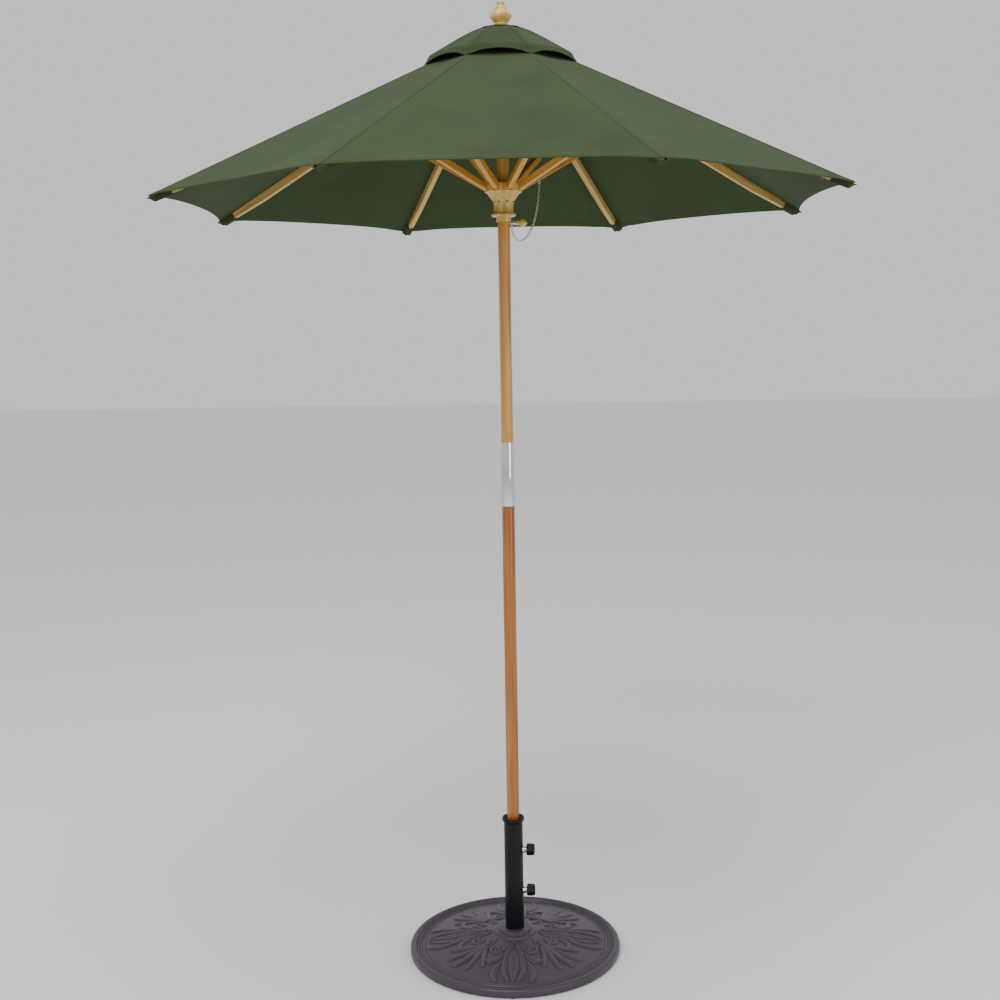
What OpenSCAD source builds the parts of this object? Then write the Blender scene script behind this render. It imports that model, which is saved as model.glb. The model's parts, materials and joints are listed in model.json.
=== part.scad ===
/* [Canopy] */
// Slope of an open rib below the horizontal, degrees
rib_slope = 26; // [22:1:30]
// Distance from the pole's axis to a corner of the cloth
canopy_r = 870; // [800:10:1100]
// Distance from the axis to the corners of the vent hole
vent_hole_r = 124; // [90:2:190]
// Distance from the axis to the corners of the vent cap
vent_cap_r = 201; // [180:2:260]
// Height of the vent cap's edge above its corners, at mid panel
vent_arch = 15; // [8:1:25]
// Depth of the inward curve of each rim edge
rim_scallop = 26; // [0:2:40]
// Thickness of the cloth
cloth_t = 1; // [0.6:0.1:2]
// Space left between the cloth and what carries it
cloth_gap = 0.3; // [0.3:0.1:1]

/* [Ribs and struts] */
// Depth of a rib
rib_h = 20; // [16:1:26]
// Width of a rib
rib_w = 14; // [12:0.5:18]
// How far a rib's end stops short of the cloth's corner
rib_setback = 14; // [8:1:30]
// Depth of a rib at its outer end
rib_tip_h = 13; // [8:1:16]
// Length of a rib's taper at its outer end
rib_taper = 150; // [60:10:250]
// Depth of a strut
strut_h = 16; // [12:1:20]
// Width of a strut
strut_w = 13.4; // [10:0.2:16]
// Distance between the pivots of a strut
link_len = 363; // [330:1:400]
// Radius of the ring on which the inner pivots lie
pivot_r = 42; // [40:1:50]
// Radius of a pivot pin
pivot_pin_r = 1.8; // [1.5:0.1:2.5]
// Radial running clearance on a pivot pin
pin_play = 0.05; // [0.02:0.01:0.1]
// Side clearance of a rib or strut in its slot
slot_play = 0.3; // [0.3:0.1:1]
// Sheet thickness of a strut bracket
bracket_t = 1.2; // [0.8:0.1:2]
// Turn of the ribs from open to folded, degrees
fold_turn = 60; // [40:1:60]

/* [Pole] */
// Diameter of the lower pole
lower_pole_d = 33; // [30:0.5:38]
// Length of the lower pole
lower_pole_len = 1260; // [1100:5:1500]
// Diameter of the upper pole
upper_pole_d = 31; // [26:0.5:32]
// Length of the upper pole
upper_pole_len = 1110; // [1000:5:1300]
// Length of the metal ferrule at the pole joint
ferrule_len = 165; // [120:5:200]
// Wall of the ferrule
ferrule_wall = 1.5; // [1:0.1:2]
// Radial running clearance between sliding round parts
slide_play = 0.05; // [0.02:0.01:0.1]
// Radius of the locking pin
lock_pin_r = 3; // [2.5:0.1:4]

/* [Hubs and finial] */
// Radius of the top hub's rim
hub_r = 52; // [50:1:60]
// Depth of the rib pivots below the pole's top
hub_drop = 35; // [26:1:40]
// Radius of the runner's slotted head
runner_head_r = 47; // [47:1:56]
// Height of the runner below the strut pivots
runner_drop = 83; // [70:1:100]
// Radius of the runner's waist
runner_waist_r = 25; // [22:1:28]
// Radius of the runner's bead
runner_bead_r = 31; // [29:1:34]
// Radius of the runner's neck
runner_neck_r = 18.5; // [18:0.5:20]
// Radius of the finial's bulb
finial_r = 27.3; // [22:0.5:32]
// Height of the finial
finial_h = 62; // [55:1:75]

/* [Base] */
// Diameter of the base
base_d = 564; // [480:2:640]
// Height of the base's edge, from the feet's tops
base_edge_h = 12; // [11:1:26]
// Wall of the cast shell
base_wall = 6; // [4:0.5:9]
// Rise of the base's top from its edge to its boss
base_rise = 32; // [4:1:44]
// Height of the feet
foot_h = 3; // [2:0.5:6]
// Radius of the lower boss ring
boss_r = 56; // [48:1:70]
// Radius of the upper boss ring
boss_step_r = 45; // [38:1:47]
// Outer diameter of the base tube
tube_d = 50; // [46:1:56]
// Wall of the base tube
tube_wall = 3; // [2:0.5:4]
// Height of the top of the tube's collar above the ground
tube_top = 368; // [300:2:450]
// Outer radius of the collar's flare
collar_r = 29.5; // [28:0.5:34]
// Height of the collar's flare
collar_h = 14; // [10:1:20]
// Space between the pole and the collar's bore
pole_play = 1; // [0.5:0.1:2]
// Height of the upper hand knob's axis above the ground
upper_knob_z = 276; // [240:2:290]
// Height of the lower hand knob's axis above the ground
lower_knob_z = 163; // [120:2:200]
// Outer radius of a hand knob
knob_r = 16; // [13:0.5:20]
// Depth of a hand knob
knob_depth = 23; // [16:1:28]
// Radius of a hand knob's stud
stud_r = 4; // [3:0.5:5]

/* [Hidden] */
$fn = 64;
ribs = 8;
half_angle = 180 / ribs;
face_gap = 0.3;

// The pole's seat in the base, its joint and its top
disc_z = foot_h;
tube_r = tube_d / 2;
tube_bore_r = tube_r - tube_wall;
bolt_head_h = 7.5;
socket_floor_z = disc_z + bolt_head_h + 0.5;
tube_z = socket_floor_z + base_wall;
plug_h = 10;
pole_seat_z = tube_z + plug_h;
pole_joint_z = pole_seat_z + lower_pole_len;
pole_top_z = pole_joint_z + upper_pole_len;
upper_pole_r = upper_pole_d / 2;
lower_pole_r = lower_pole_d / 2;
ferrule_bore_r = upper_pole_r + slide_play;

// The folding linkage: rib pivot P, rib-to-strut pivot Q and runner pivot S
strut_room = 0.8;
bracket_drop = rib_h / 2 + strut_h / 2 + strut_room;
link_tilt = asin(bracket_drop / link_len);
strut_slope = rib_slope + link_tilt;
hub_pivot_z = pole_top_z - hub_drop;
runner_pivot_z = hub_pivot_z - 2 * link_len * sin(strut_slope);
bracket_x = link_len * cos(link_tilt);
bracket_r = strut_h / 2;
rib_len = (canopy_r - rib_setback - pivot_r) / cos(rib_slope);
pivot_bore_r = pivot_pin_r + pin_play;

// The cloth: its planes would meet at the apex
cloth_lift = rib_h / 2 + rib_w / 2 * tan(half_angle) * sin(rib_slope) + cloth_gap + cloth_t;
apex_z = hub_pivot_z + pivot_r * tan(rib_slope) + cloth_lift / cos(rib_slope);
cloth_drop = cloth_t / cos(rib_slope);
seam_gap = 0.3;
rim_steps = 6;
cap_in_r = 46;
cap_in_z = hub_pivot_z + hub_drop - 2.5;
cap_out_z = apex_z - vent_cap_r * tan(rib_slope) + cloth_gap + cloth_drop;
cap_steps = 4;

// The runner and the pin that holds it up
runner_z = runner_pivot_z - runner_drop;
runner_top = 12;
lock_pin_z = runner_z - face_gap - lock_pin_r;
lock_bore_r = lock_pin_r + slide_play;
lock_collar_x = 23;
lock_knob_x = 32;
lock_knob_len = 26.6;
lock_knob_r = 10;
slot_w = rib_w + 2 * slot_play;
strut_slot_w = strut_w + 2 * slot_play;

// The hand knobs
stud_play = 0.05;
knob_x = tube_r + 7.5;
knob_lobes = 6;
nut_r = 9;
nut_x = tube_r + 6;

// The chain that keeps the locking pin
chain_wire_r = 0.8;
link_end_r = 2.2;
link_half = 1.9;
link_pitch = 2 * (link_half + link_end_r) - 2 * chain_wire_r - 0.2;
eye_along = 58;
eye_r = 3;
ring_r = 5.4;
ring_x = 19.6;
ring_drop = ring_r - chain_wire_r - lock_pin_r - face_gap;

// ---- placing ----

module at_rib(i) {
  rotate([0, 0, half_angle + (i - 1) * 2 * half_angle]) children();
}

module at_each_rib() {
  for (i = [1:ribs]) at_rib(i) children();
}

// x runs out along the open rib, z square to it
module on_rib() {
  translate([pivot_r, 0, hub_pivot_z]) rotate([0, rib_slope, 0]) children();
}

// x runs out along the open strut from its runner pivot
module on_strut() {
  translate([pivot_r, 0, runner_pivot_z]) rotate([0, -strut_slope, 0]) children();
}

// An outline in x and z, given thickness w along y
module plate(w) {
  rotate([90, 0, 0]) linear_extrude(w, center = true) children();
}

module cross_pin(r, len) {
  rotate([90, 0, 0]) cylinder(r = r, h = len, center = true);
}

module along_x(r, from, to) {
  translate([from, 0, 0]) rotate([0, 90, 0]) cylinder(r = r, h = to - from);
}

// ---- base ----

disc_r = base_d / 2;
bead_r = 9;
disc_edge_z = disc_z + base_edge_h;
disc_mid_z = disc_edge_z + base_rise;
boss_z = disc_mid_z + 6;
boss_step_z = boss_z + 8;
rim_w = 15;

module disc_profile() {
  difference() {
    union() {
      polygon([
        [0, socket_floor_z], [boss_step_r, socket_floor_z],
        [boss_r, disc_mid_z - base_wall], [disc_r - rim_w, disc_edge_z - base_wall],
        [disc_r - rim_w, disc_z], [disc_r, disc_z], [disc_r, disc_edge_z],
        [disc_r - 2 * bead_r - 3, disc_edge_z], [boss_r, disc_mid_z],
        [boss_r, boss_z - 2], [boss_r - 2, boss_z], [boss_step_r, boss_z],
        [boss_step_r, boss_step_z - 3], [boss_step_r - 3, boss_step_z], [0, boss_step_z]
      ]);
      translate([disc_r - bead_r, disc_edge_z - 1]) circle(r = bead_r);
      translate([disc_r - 4 * bead_r, disc_edge_z - 1]) circle(r = 4.5);
    }
    translate([disc_r - 2 * bead_r - 4, disc_edge_z + 2]) circle(r = 4);
  }
}

module base_disc() {
  color("#544a55")
  difference() {
    rotate_extrude($fn = 128) disc_profile();
    translate([0, 0, tube_z]) cylinder(r = tube_r, h = boss_step_z);
    cylinder(r = 6.1, h = tube_z + 1);
  }
}

module base_feet() {
  color("#18181a")
  for (i = [0:7])
    rotate([0, 0, i * 45]) translate([disc_r - rim_w / 2, 0, 0]) cylinder(r = 6, h = foot_h);
}

module base_tube() {
  color("#1c1b20")
  difference() {
    translate([0, 0, tube_z]) cylinder(r = tube_r, h = tube_top - collar_h - tube_z);
    translate([0, 0, pole_seat_z]) cylinder(r = tube_bore_r, h = tube_top);
    translate([0, 0, tube_z - 1]) cylinder(r = 6.1, h = plug_h + 2);
    for (z = [upper_knob_z, lower_knob_z])
      translate([0, 0, z]) along_x(stud_r + stud_play, 0, tube_r + 1);
  }
}

module tube_collar() {
  bore_r = lower_pole_r + pole_play;
  flare_z = tube_top - collar_h;
  color("#232227")
  rotate_extrude()
  difference() {
    union() {
      translate([bore_r, flare_z - 40]) square([tube_bore_r - bore_r, 40 + 1]);
      polygon([
        [bore_r, flare_z], [tube_r + 0.5, flare_z], [collar_r, flare_z + 5],
        [collar_r, tube_top - 1.5], [collar_r - 1.5, tube_top], [bore_r, tube_top]
      ]);
    }
    polygon([[bore_r - 1, flare_z + 2], [bore_r, flare_z + 2], [collar_r - 3.5, tube_top + 0.01],
      [bore_r - 1, tube_top + 0.01]]);
  }
}

module tube_nuts() {
  color("#c9cbd0")
  for (z = [upper_knob_z, lower_knob_z]) translate([0, 0, z])
    difference() {
      along_x(nut_r, tube_r - 4, nut_x);
      cylinder(r = tube_r, h = 4 * nut_r, center = true);
      along_x(stud_r + stud_play, 0, nut_x + 1);
    }
}

module base_bolt() {
  color("#8d9096")
  union() {
    translate([0, 0, socket_floor_z - bolt_head_h]) cylinder(r = 11, h = bolt_head_h, $fn = 6);
    translate([0, 0, socket_floor_z - 1]) cylinder(r = 6, h = pole_seat_z - socket_floor_z);
  }
}

module hand_knob(z) {
  lobe_r = knob_r * 0.3;
  color("#141416")
  translate([0, 0, z])
  difference() {
    union() {
      along_x(nut_r - 1.5, nut_x + face_gap, knob_x + 1);
      translate([knob_x, 0, 0]) rotate([0, 90, 0]) linear_extrude(knob_depth) {
        circle(r = knob_r - lobe_r);
        for (a = [0:360 / knob_lobes:359]) rotate(a) translate([knob_r - lobe_r, 0]) circle(r = lobe_r);
      }
      along_x(knob_r * 0.5, knob_x + knob_depth - 1, knob_x + knob_depth + 1.2);
    }
    along_x(stud_r, 0, knob_x + knob_depth / 2);
  }
  color("#c9cbd0")
  translate([0, 0, z]) along_x(stud_r, lower_pole_r + face_gap, knob_x + knob_depth / 2);
}

// ---- pole ----

module lower_pole() {
  color("#b8792f")
  union() {
    translate([0, 0, pole_seat_z]) cylinder(r = lower_pole_r, h = lower_pole_len - ferrule_len / 2);
    translate([0, 0, pole_seat_z]) cylinder(r = ferrule_bore_r, h = lower_pole_len);
  }
}

module ferrule() {
  ferrule_r = ferrule_bore_r + ferrule_wall;
  ferrule_z = pole_joint_z - ferrule_len / 2;
  color("#d6d8dc") {
    difference() {
      translate([0, 0, ferrule_z]) cylinder(r = ferrule_r, h = ferrule_len);
      translate([0, 0, ferrule_z - 1]) cylinder(r = ferrule_bore_r, h = ferrule_len + 2);
    }
    for (a = [0, 180])
      rotate([0, 0, a]) translate([0, 0, ferrule_z + 20])
        difference() {
          along_x(2.5, ferrule_r - 1, ferrule_r + 1.2);
          cylinder(r = ferrule_r, h = 10, center = true);
        }
  }
}

module upper_pole() {
  color("#cf9a45")
  difference() {
    translate([0, 0, pole_joint_z]) cylinder(r = upper_pole_r, h = upper_pole_len);
    translate([0, 0, pole_top_z - 45]) cylinder(r = 5 + slide_play, h = 46);
    translate([0, 0, lock_pin_z]) along_x(lock_bore_r, -upper_pole_r - 1, upper_pole_r + 1);
  }
}

// ---- top hub, crown patch and finial ----

module top_hub() {
  slot_in_r = pivot_r - rib_h / 2 - 0.5;
  color("#c9973f")
  difference() {
    translate([0, 0, hub_pivot_z]) rotate_extrude()
      polygon([
        [upper_pole_r, -34], [24, -34], [30, -26], [hub_r - 5, -14], [hub_r, -9],
        [hub_r, 9], [hub_r - 4, 13], [34, 16], [30, hub_drop], [upper_pole_r, hub_drop]
      ]);
    at_each_rib() translate([slot_in_r, -slot_w / 2, hub_pivot_z - 40]) cube([hub_r, slot_w, 80]);
    at_each_rib() translate([pivot_r, 0, hub_pivot_z]) cross_pin(pivot_pin_r, slot_w + 12);
  }
}

module hub_fasteners() {
  color("#b9a566")
  at_each_rib() translate([pivot_r, 0, hub_pivot_z]) cross_pin(pivot_pin_r, slot_w + 12);
}

module crown_patch() {
  color("#4c5a3a")
  translate([0, 0, pole_top_z])
  rotate_extrude()
    polygon([[5.5, 2], [22, 2], [54, -1.2], [54, -0.2], [22, 3.2], [5.5, 3.2]]);
  color("#c9973f")
  translate([0, 0, pole_top_z])
  difference() {
    cylinder(r = 20, h = 2);
    translate([0, 0, -1]) cylinder(r = 5.5, h = 4);
  }
}

module finial() {
  foot_z = pole_top_z + 3.2;
  bulb_r = 19;
  bulb_z = 8 + bulb_r;
  color("#d8b56c")
  union() {
    translate([0, 0, foot_z]) rotate_extrude() union() {
      polygon([
        [0, 0], [19, 0], [19.5, 2.5], [16, 6], [16, 14], [finial_r - bulb_r, bulb_z],
        [18, bulb_z + 14], [12.5, bulb_z + 20], [10.5, finial_h - 8], [11, finial_h - 2],
        [9.5, finial_h], [0, finial_h]
      ]);
      intersection() {
        translate([finial_r - bulb_r, bulb_z]) circle(r = bulb_r);
        square([finial_r, finial_h]);
      }
    }
    translate([0, 0, pole_top_z - 40]) cylinder(r = 5, h = 45);
  }
}

// ---- runner ----

module runner() {
  bore_r = upper_pole_r + slide_play;
  slot_in_r = pivot_r - strut_h / 2 - 0.6;
  slot_floor = -strut_h / 2 - 0.6;
  color("#cda255")
  difference() {
    translate([0, 0, runner_pivot_z]) rotate_extrude()
      difference() {
        union() {
          polygon([
            [bore_r, -runner_drop], [runner_neck_r, -runner_drop], [runner_neck_r, -runner_drop + 13],
            [runner_waist_r, -runner_drop + 14], [runner_waist_r, -40], [runner_waist_r + 3, -30],
            [runner_head_r - 8, -15], [runner_head_r, -9], [runner_head_r, runner_top - 3],
            [runner_head_r - 3, runner_top], [bore_r, runner_top]
          ]);
          translate([runner_bead_r - 4, -runner_drop + 17]) circle(r = 4);
          translate([bore_r, -runner_drop + 13]) square([runner_bead_r - bore_r - 4, 8]);
        }
      }
    at_each_rib() translate([slot_in_r, -strut_slot_w / 2, runner_pivot_z + slot_floor])
      cube([runner_head_r, strut_slot_w, 60]);
    at_each_rib() translate([pivot_r, 0, runner_pivot_z]) cross_pin(pivot_pin_r, strut_slot_w + 10);
  }
}

module runner_fasteners() {
  screw_z = runner_pivot_z - 35;
  color("#b9a566") {
    at_each_rib() translate([pivot_r, 0, runner_pivot_z]) cross_pin(pivot_pin_r, strut_slot_w + 10);
    at_each_rib() translate([0, 0, screw_z])
      difference() {
        along_x(2.4, runner_waist_r - 1, runner_waist_r + 3.6);
        translate([0, 0, -5]) cylinder(r1 = runner_waist_r, r2 = runner_waist_r + 3, h = 10);
      }
  }
}

// ---- locking pin and its chain ----

module lock_pin() {
  color("#c9cbd0")
  translate([0, 0, lock_pin_z])
  union() {
    along_x(lock_pin_r, -upper_pole_r + 1, lock_knob_x + 6);
    along_x(lock_pin_r + 2, lock_collar_x, lock_knob_x);
  }
}

module lock_pin_knob() {
  color("#cda255")
  difference() {
    translate([lock_knob_x, 0, lock_pin_z]) rotate([0, 90, 0]) rotate_extrude()
      intersection() {
        union() {
          polygon([
            [0, 0], [6, 0], [6.5, 2], [5, 6], [lock_knob_r - 2, 12],
            [lock_knob_r - 2, lock_knob_len - 6], [4, lock_knob_len], [0, lock_knob_len]
          ]);
          translate([lock_knob_r - 8, lock_knob_len - 10]) circle(r = 8);
        }
        square([lock_knob_r, lock_knob_len]);
      }
    translate([0, 0, lock_pin_z]) along_x(lock_pin_r, 0, lock_knob_x + 6);
  }
}

// The chain hangs in one bight from the eye to the ring on the pin
eye_drop = strut_h / 2 + eye_r + chain_wire_r;
eye_x = pivot_r + eye_along * cos(strut_slope) + eye_drop * sin(strut_slope);
eye_z = runner_pivot_z + eye_along * sin(strut_slope) - eye_drop * cos(strut_slope);
link_hang = link_half + link_end_r - 2 * chain_wire_r - 0.2;
chain_top = [eye_x * cos(half_angle), eye_x * sin(half_angle), eye_z - eye_r - link_hang];
chain_end = [ring_x, 0, lock_pin_z - ring_drop - ring_r - link_hang];
chain_bight = [[-8, -6, -150], [6, 4, -66]];

function bight(t) = chain_top * pow(1 - t, 3) + (chain_top + chain_bight[0]) * 3 * t * pow(1 - t, 2)
  + (chain_end + chain_bight[1]) * 3 * t * t * (1 - t) + chain_end * pow(t, 3);
bight_points = [for (k = [0:120]) bight(k / 120)];
bight_steps = [for (k = [1:120]) norm(bight_points[k] - bight_points[k - 1])];
function run_to(k) = k == 0 ? 0 : run_to(k - 1) + bight_steps[k - 1];
bight_run = [for (k = [0:120]) [run_to(k), k / 120]];
chain_len = bight_run[120][0];
chain_links = 2 * round((chain_len / link_pitch - 1) / 2) + 1;
function chain_at(s) = bight(lookup(s, bight_run));

module chain_link() {
  for (e = [-1, 1]) {
    translate([0, 0, e * link_half]) rotate([90, 0, 0]) rotate([0, 0, e > 0 ? 0 : 180])
      rotate_extrude(angle = 180, $fn = 24) translate([link_end_r, 0]) circle(r = chain_wire_r, $fn = 16);
    translate([e * link_end_r, 0, 0])
      cylinder(r = chain_wire_r, h = 2 * link_half, center = true, $fn = 16);
  }
}

module wire_ring(r) {
  rotate_extrude($fn = 32) translate([r, 0]) circle(r = chain_wire_r, $fn = 16);
}

module pin_chain() {
  step = chain_len / chain_links;
  color("#d2d4d8") {
    for (k = [0:chain_links]) {
      here = chain_at(k * step);
      lead = chain_at(min(k * step + 0.5, chain_len)) - chain_at(max(k * step - 0.5, 0));
      translate(here)
        rotate([0, acos(lead[2] / norm(lead)), atan2(lead[1], lead[0])])
        rotate([0, 0, (k + 1) % 2 * 90])
        chain_link();
    }
    translate([ring_x, 0, lock_pin_z - ring_drop]) rotate([0, 90, 0]) wire_ring(ring_r);
    at_rib(1) on_strut() {
      translate([eye_along, 0, -eye_drop]) rotate([90, 0, 0]) wire_ring(eye_r);
      translate([eye_along, 0, -strut_h / 2 - chain_wire_r]) cylinder(r = 1.2, h = 10);
    }
  }
}

// ---- ribs, brackets and struts ----

module rib() {
  color("#c9973f")
  on_rib()
  difference() {
    plate(rib_w) {
      circle(r = rib_h / 2);
      translate([0, -rib_h / 2]) square([rib_len, rib_h]);
    }
    plate(rib_w + 2) polygon([
      [rib_len - rib_taper, -rib_h / 2], [rib_len, rib_h / 2 - rib_tip_h],
      [rib_len + 1, rib_h / 2 - rib_tip_h], [rib_len + 1, -rib_h], [rib_len - rib_taper, -rib_h]
    ]);
    cross_pin(pivot_bore_r, rib_w + 2);
  }
}

module rib_bracket() {
  cheek_x = rib_w / 2 + bracket_t / 2;
  color("#8f8468")
  on_rib() {
    for (side = [-1, 1])
      translate([0, side * cheek_x, 0])
      difference() {
        plate(bracket_t) {
          translate([bracket_x, -bracket_drop]) circle(r = bracket_r);
          polygon([
            [bracket_x - 20, 4], [bracket_x + 20, 4], [bracket_x + 20, -5],
            [bracket_x + bracket_r, -bracket_drop], [bracket_x - bracket_r, -bracket_drop],
            [bracket_x - 20, -5]
          ]);
        }
        translate([bracket_x, 0, -bracket_drop]) cross_pin(pivot_pin_r, bracket_t + 1);
      }
    translate([bracket_x, 0, -bracket_drop]) {
      cross_pin(pivot_pin_r, rib_w + 2 * bracket_t);
      for (side = [-1, 1]) translate([0, side * (rib_w / 2 + bracket_t + 0.6), 0]) cross_pin(3.4, 1.2);
    }
    for (side = [-1, 1], x = [-14, 14])
      translate([bracket_x + x, side * (rib_w / 2 + bracket_t + 0.5), -1]) cross_pin(2.6, 1);
  }
}

module strut(has_eye) {
  color("#c48a35")
  on_strut()
  difference() {
    plate(strut_w) {
      circle(r = strut_h / 2);
      translate([0, -strut_h / 2]) square([link_len, strut_h]);
      translate([link_len, 0]) circle(r = strut_h / 2);
    }
    cross_pin(pivot_bore_r, strut_w + 2);
    translate([link_len, 0, 0]) cross_pin(pivot_bore_r, strut_w + 2);
    if (has_eye) translate([eye_along, 0, -strut_h / 2 - 1]) cylinder(r = 1.2, h = 11.2 - chain_wire_r);
  }
}

// ---- cloth ----

// A closed sheet with the given grid of top points and the given thickness straight down
module sheet(top, t) {
  rows = len(top);
  cols = len(top[0]);
  count = rows * cols;
  points = concat(
    [for (row = top) for (p = row) p],
    [for (row = top) for (p = row) p - [0, 0, t]]
  );
  function id(r, c) = r * cols + c;
  upper = [for (r = [0:rows - 2]) for (c = [0:cols - 2])
    each [[id(r, c), id(r + 1, c), id(r + 1, c + 1)], [id(r, c), id(r + 1, c + 1), id(r, c + 1)]]];
  edge = concat(
    [for (c = [0:cols - 2]) [id(0, c), id(0, c + 1)]],
    [for (r = [0:rows - 2]) [id(r, cols - 1), id(r + 1, cols - 1)]],
    [for (c = [cols - 1:-1:1]) [id(rows - 1, c), id(rows - 1, c - 1)]],
    [for (r = [rows - 1:-1:1]) [id(r, 0), id(r - 1, 0)]]
  );
  faces = concat(
    upper,
    [for (f = upper) [f[2] + count, f[1] + count, f[0] + count]],
    [for (e = edge) each [[e[0], e[1], e[1] + count], [e[0], e[1] + count, e[0] + count]]]
  );
  polyhedron(points, faces);
}

// A point g (-1 to 1) of the way from the seam on the rib to a mid-panel line,
// on the straight edge between the corners at radius r
function chord_point(r, g) =
  let (reach = r * cos(half_angle) * sin(half_angle) - seam_gap / 2)
  [r * (1 - abs(g) * pow(sin(half_angle), 2)), g * reach];

function plane_z(p) =
  apex_z - (p[0] * cos(half_angle) + abs(p[1]) * sin(half_angle)) * tan(rib_slope) / cos(half_angle);

function rim_point(g) =
  let (p = chord_point(canopy_r, g), s = rim_scallop * (1 - pow(1 - abs(g), 2)))
  [p[0] - s * cos(half_angle), p[1] - sign(g) * s * sin(half_angle)];

function on_plane(p) = [p[0], p[1], plane_z(p)];

module canopy_panel() {
  shares = [for (k = [-rim_steps:rim_steps]) k / rim_steps];
  color("#5a6b46")
  sheet([
    [for (g = shares) on_plane(chord_point(vent_hole_r, g))],
    [for (g = shares) on_plane(rim_point(g))]
  ], cloth_drop);
}

module vent_panel() {
  shares = [for (k = [-cap_steps:cap_steps]) k / cap_steps];
  rises = [for (k = [0:cap_steps]) k / cap_steps];
  color("#54643f")
  sheet([
    for (f = rises) [
      for (g = shares)
        let (
          p = chord_point(cap_in_r + (vent_cap_r - cap_in_r) * f, g),
          z = cap_in_z + (cap_out_z - cap_in_z) * f + vent_arch * f * f * (1 - pow(1 - abs(g), 2))
        )
        [p[0], p[1], z]
    ]
  ], cloth_drop);
}

// ---- the whole ----

base_disc();
base_feet();
base_tube();
tube_collar();
tube_nuts();
base_bolt();
hand_knob(upper_knob_z);  // upper_knob
hand_knob(lower_knob_z);  // lower_knob
lower_pole();
ferrule();
upper_pole();
top_hub();
hub_fasteners();
crown_patch();
finial();
runner();
runner_fasteners();
lock_pin();
lock_pin_knob();
pin_chain();
for (i = [1:ribs]) {
  at_rib(i) rib();
  at_rib(i) rib_bracket();
  at_rib(i) strut(i == 1);
  at_rib(i) canopy_panel();
  at_rib(i) vent_panel();
}
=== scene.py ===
import bpy, bmesh
import json, math
import numpy as np
from mathutils import Matrix, Vector

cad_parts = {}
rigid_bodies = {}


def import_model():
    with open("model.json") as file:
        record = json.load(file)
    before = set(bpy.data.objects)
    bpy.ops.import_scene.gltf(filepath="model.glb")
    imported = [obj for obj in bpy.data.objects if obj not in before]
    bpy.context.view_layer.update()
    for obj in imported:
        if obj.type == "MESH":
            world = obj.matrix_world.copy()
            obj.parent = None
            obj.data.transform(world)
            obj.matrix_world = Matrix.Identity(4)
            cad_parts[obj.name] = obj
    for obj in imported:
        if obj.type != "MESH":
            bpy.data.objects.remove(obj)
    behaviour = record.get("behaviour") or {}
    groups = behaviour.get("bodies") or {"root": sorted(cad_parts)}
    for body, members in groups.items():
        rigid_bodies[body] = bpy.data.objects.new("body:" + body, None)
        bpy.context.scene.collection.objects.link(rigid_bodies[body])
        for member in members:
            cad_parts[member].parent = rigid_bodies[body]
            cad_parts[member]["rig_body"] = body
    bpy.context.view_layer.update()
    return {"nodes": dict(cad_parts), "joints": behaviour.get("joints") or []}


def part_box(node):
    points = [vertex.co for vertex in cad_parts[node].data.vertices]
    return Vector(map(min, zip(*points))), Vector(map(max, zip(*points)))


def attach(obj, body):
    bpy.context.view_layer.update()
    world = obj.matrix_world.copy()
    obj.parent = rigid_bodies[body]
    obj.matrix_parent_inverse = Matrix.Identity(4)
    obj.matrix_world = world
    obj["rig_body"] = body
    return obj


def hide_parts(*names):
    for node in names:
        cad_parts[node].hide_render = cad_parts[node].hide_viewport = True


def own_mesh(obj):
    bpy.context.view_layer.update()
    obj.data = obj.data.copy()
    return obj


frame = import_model()
joints = {j["name"]: j for j in frame["joints"]}
ribCount = 8


# small helpers

def srgb(hexCode):
    parts = [int(hexCode[i:i + 2], 16) / 255 for i in (1, 3, 5)]
    return tuple(c / 12.92 if c <= 0.04045 else ((c + 0.055) / 1.055) ** 2.4 for c in parts) + (1.0,)


def addNode(tree, kind, inputs=None, **settings):
    node = tree.nodes.new(kind)
    for key, value in settings.items():
        setattr(node, key, value)
    for key, value in (inputs or {}).items():
        socket = node.inputs[key]
        if isinstance(value, bpy.types.NodeSocket):
            tree.links.new(value, socket)
        else:
            socket.default_value = value
    return node


def newMaterial(name, **shaderInputs):
    material = bpy.data.materials.new(name)
    material.use_nodes = True
    tree = material.node_tree
    shader = tree.nodes["Principled BSDF"]
    for key, value in shaderInputs.items():
        shader.inputs[key.replace("_", " ")].default_value = value
    return material, tree, shader


def addPiece(name, mesh, body, material, replaced=()):
    obj = bpy.data.objects.new(name, mesh)
    bpy.context.scene.collection.objects.link(obj)
    mesh.materials.clear()
    mesh.materials.append(material)
    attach(obj, body)
    if replaced:
        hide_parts(*replaced)
    return obj


def smoothByAngle(mesh, degrees):
    mesh.shade_smooth()
    mesh.set_sharp_from_angle(angle=math.radians(degrees))
    return mesh


def dress(tree, shader, factor, stops, height=None, strength=0.0, depth=0.0):
    # the colours of a finish by a pattern, and its skin as a bump of a given depth in metres
    colours = addNode(tree, "ShaderNodeValToRGB", {"Fac": factor})
    elements = colours.color_ramp.elements
    while len(elements) < len(stops):
        elements.new(0.5)
    for element, (place, hexCode) in zip(elements, stops):
        element.position = place
        element.color = srgb(hexCode)
    tree.links.new(colours.outputs["Color"], shader.inputs["Base Color"])
    if height:
        skin = addNode(tree, "ShaderNodeBump", {"Height": height, "Strength": strength, "Distance": depth})
        tree.links.new(skin.outputs["Normal"], shader.inputs["Normal"])


# materials

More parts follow.
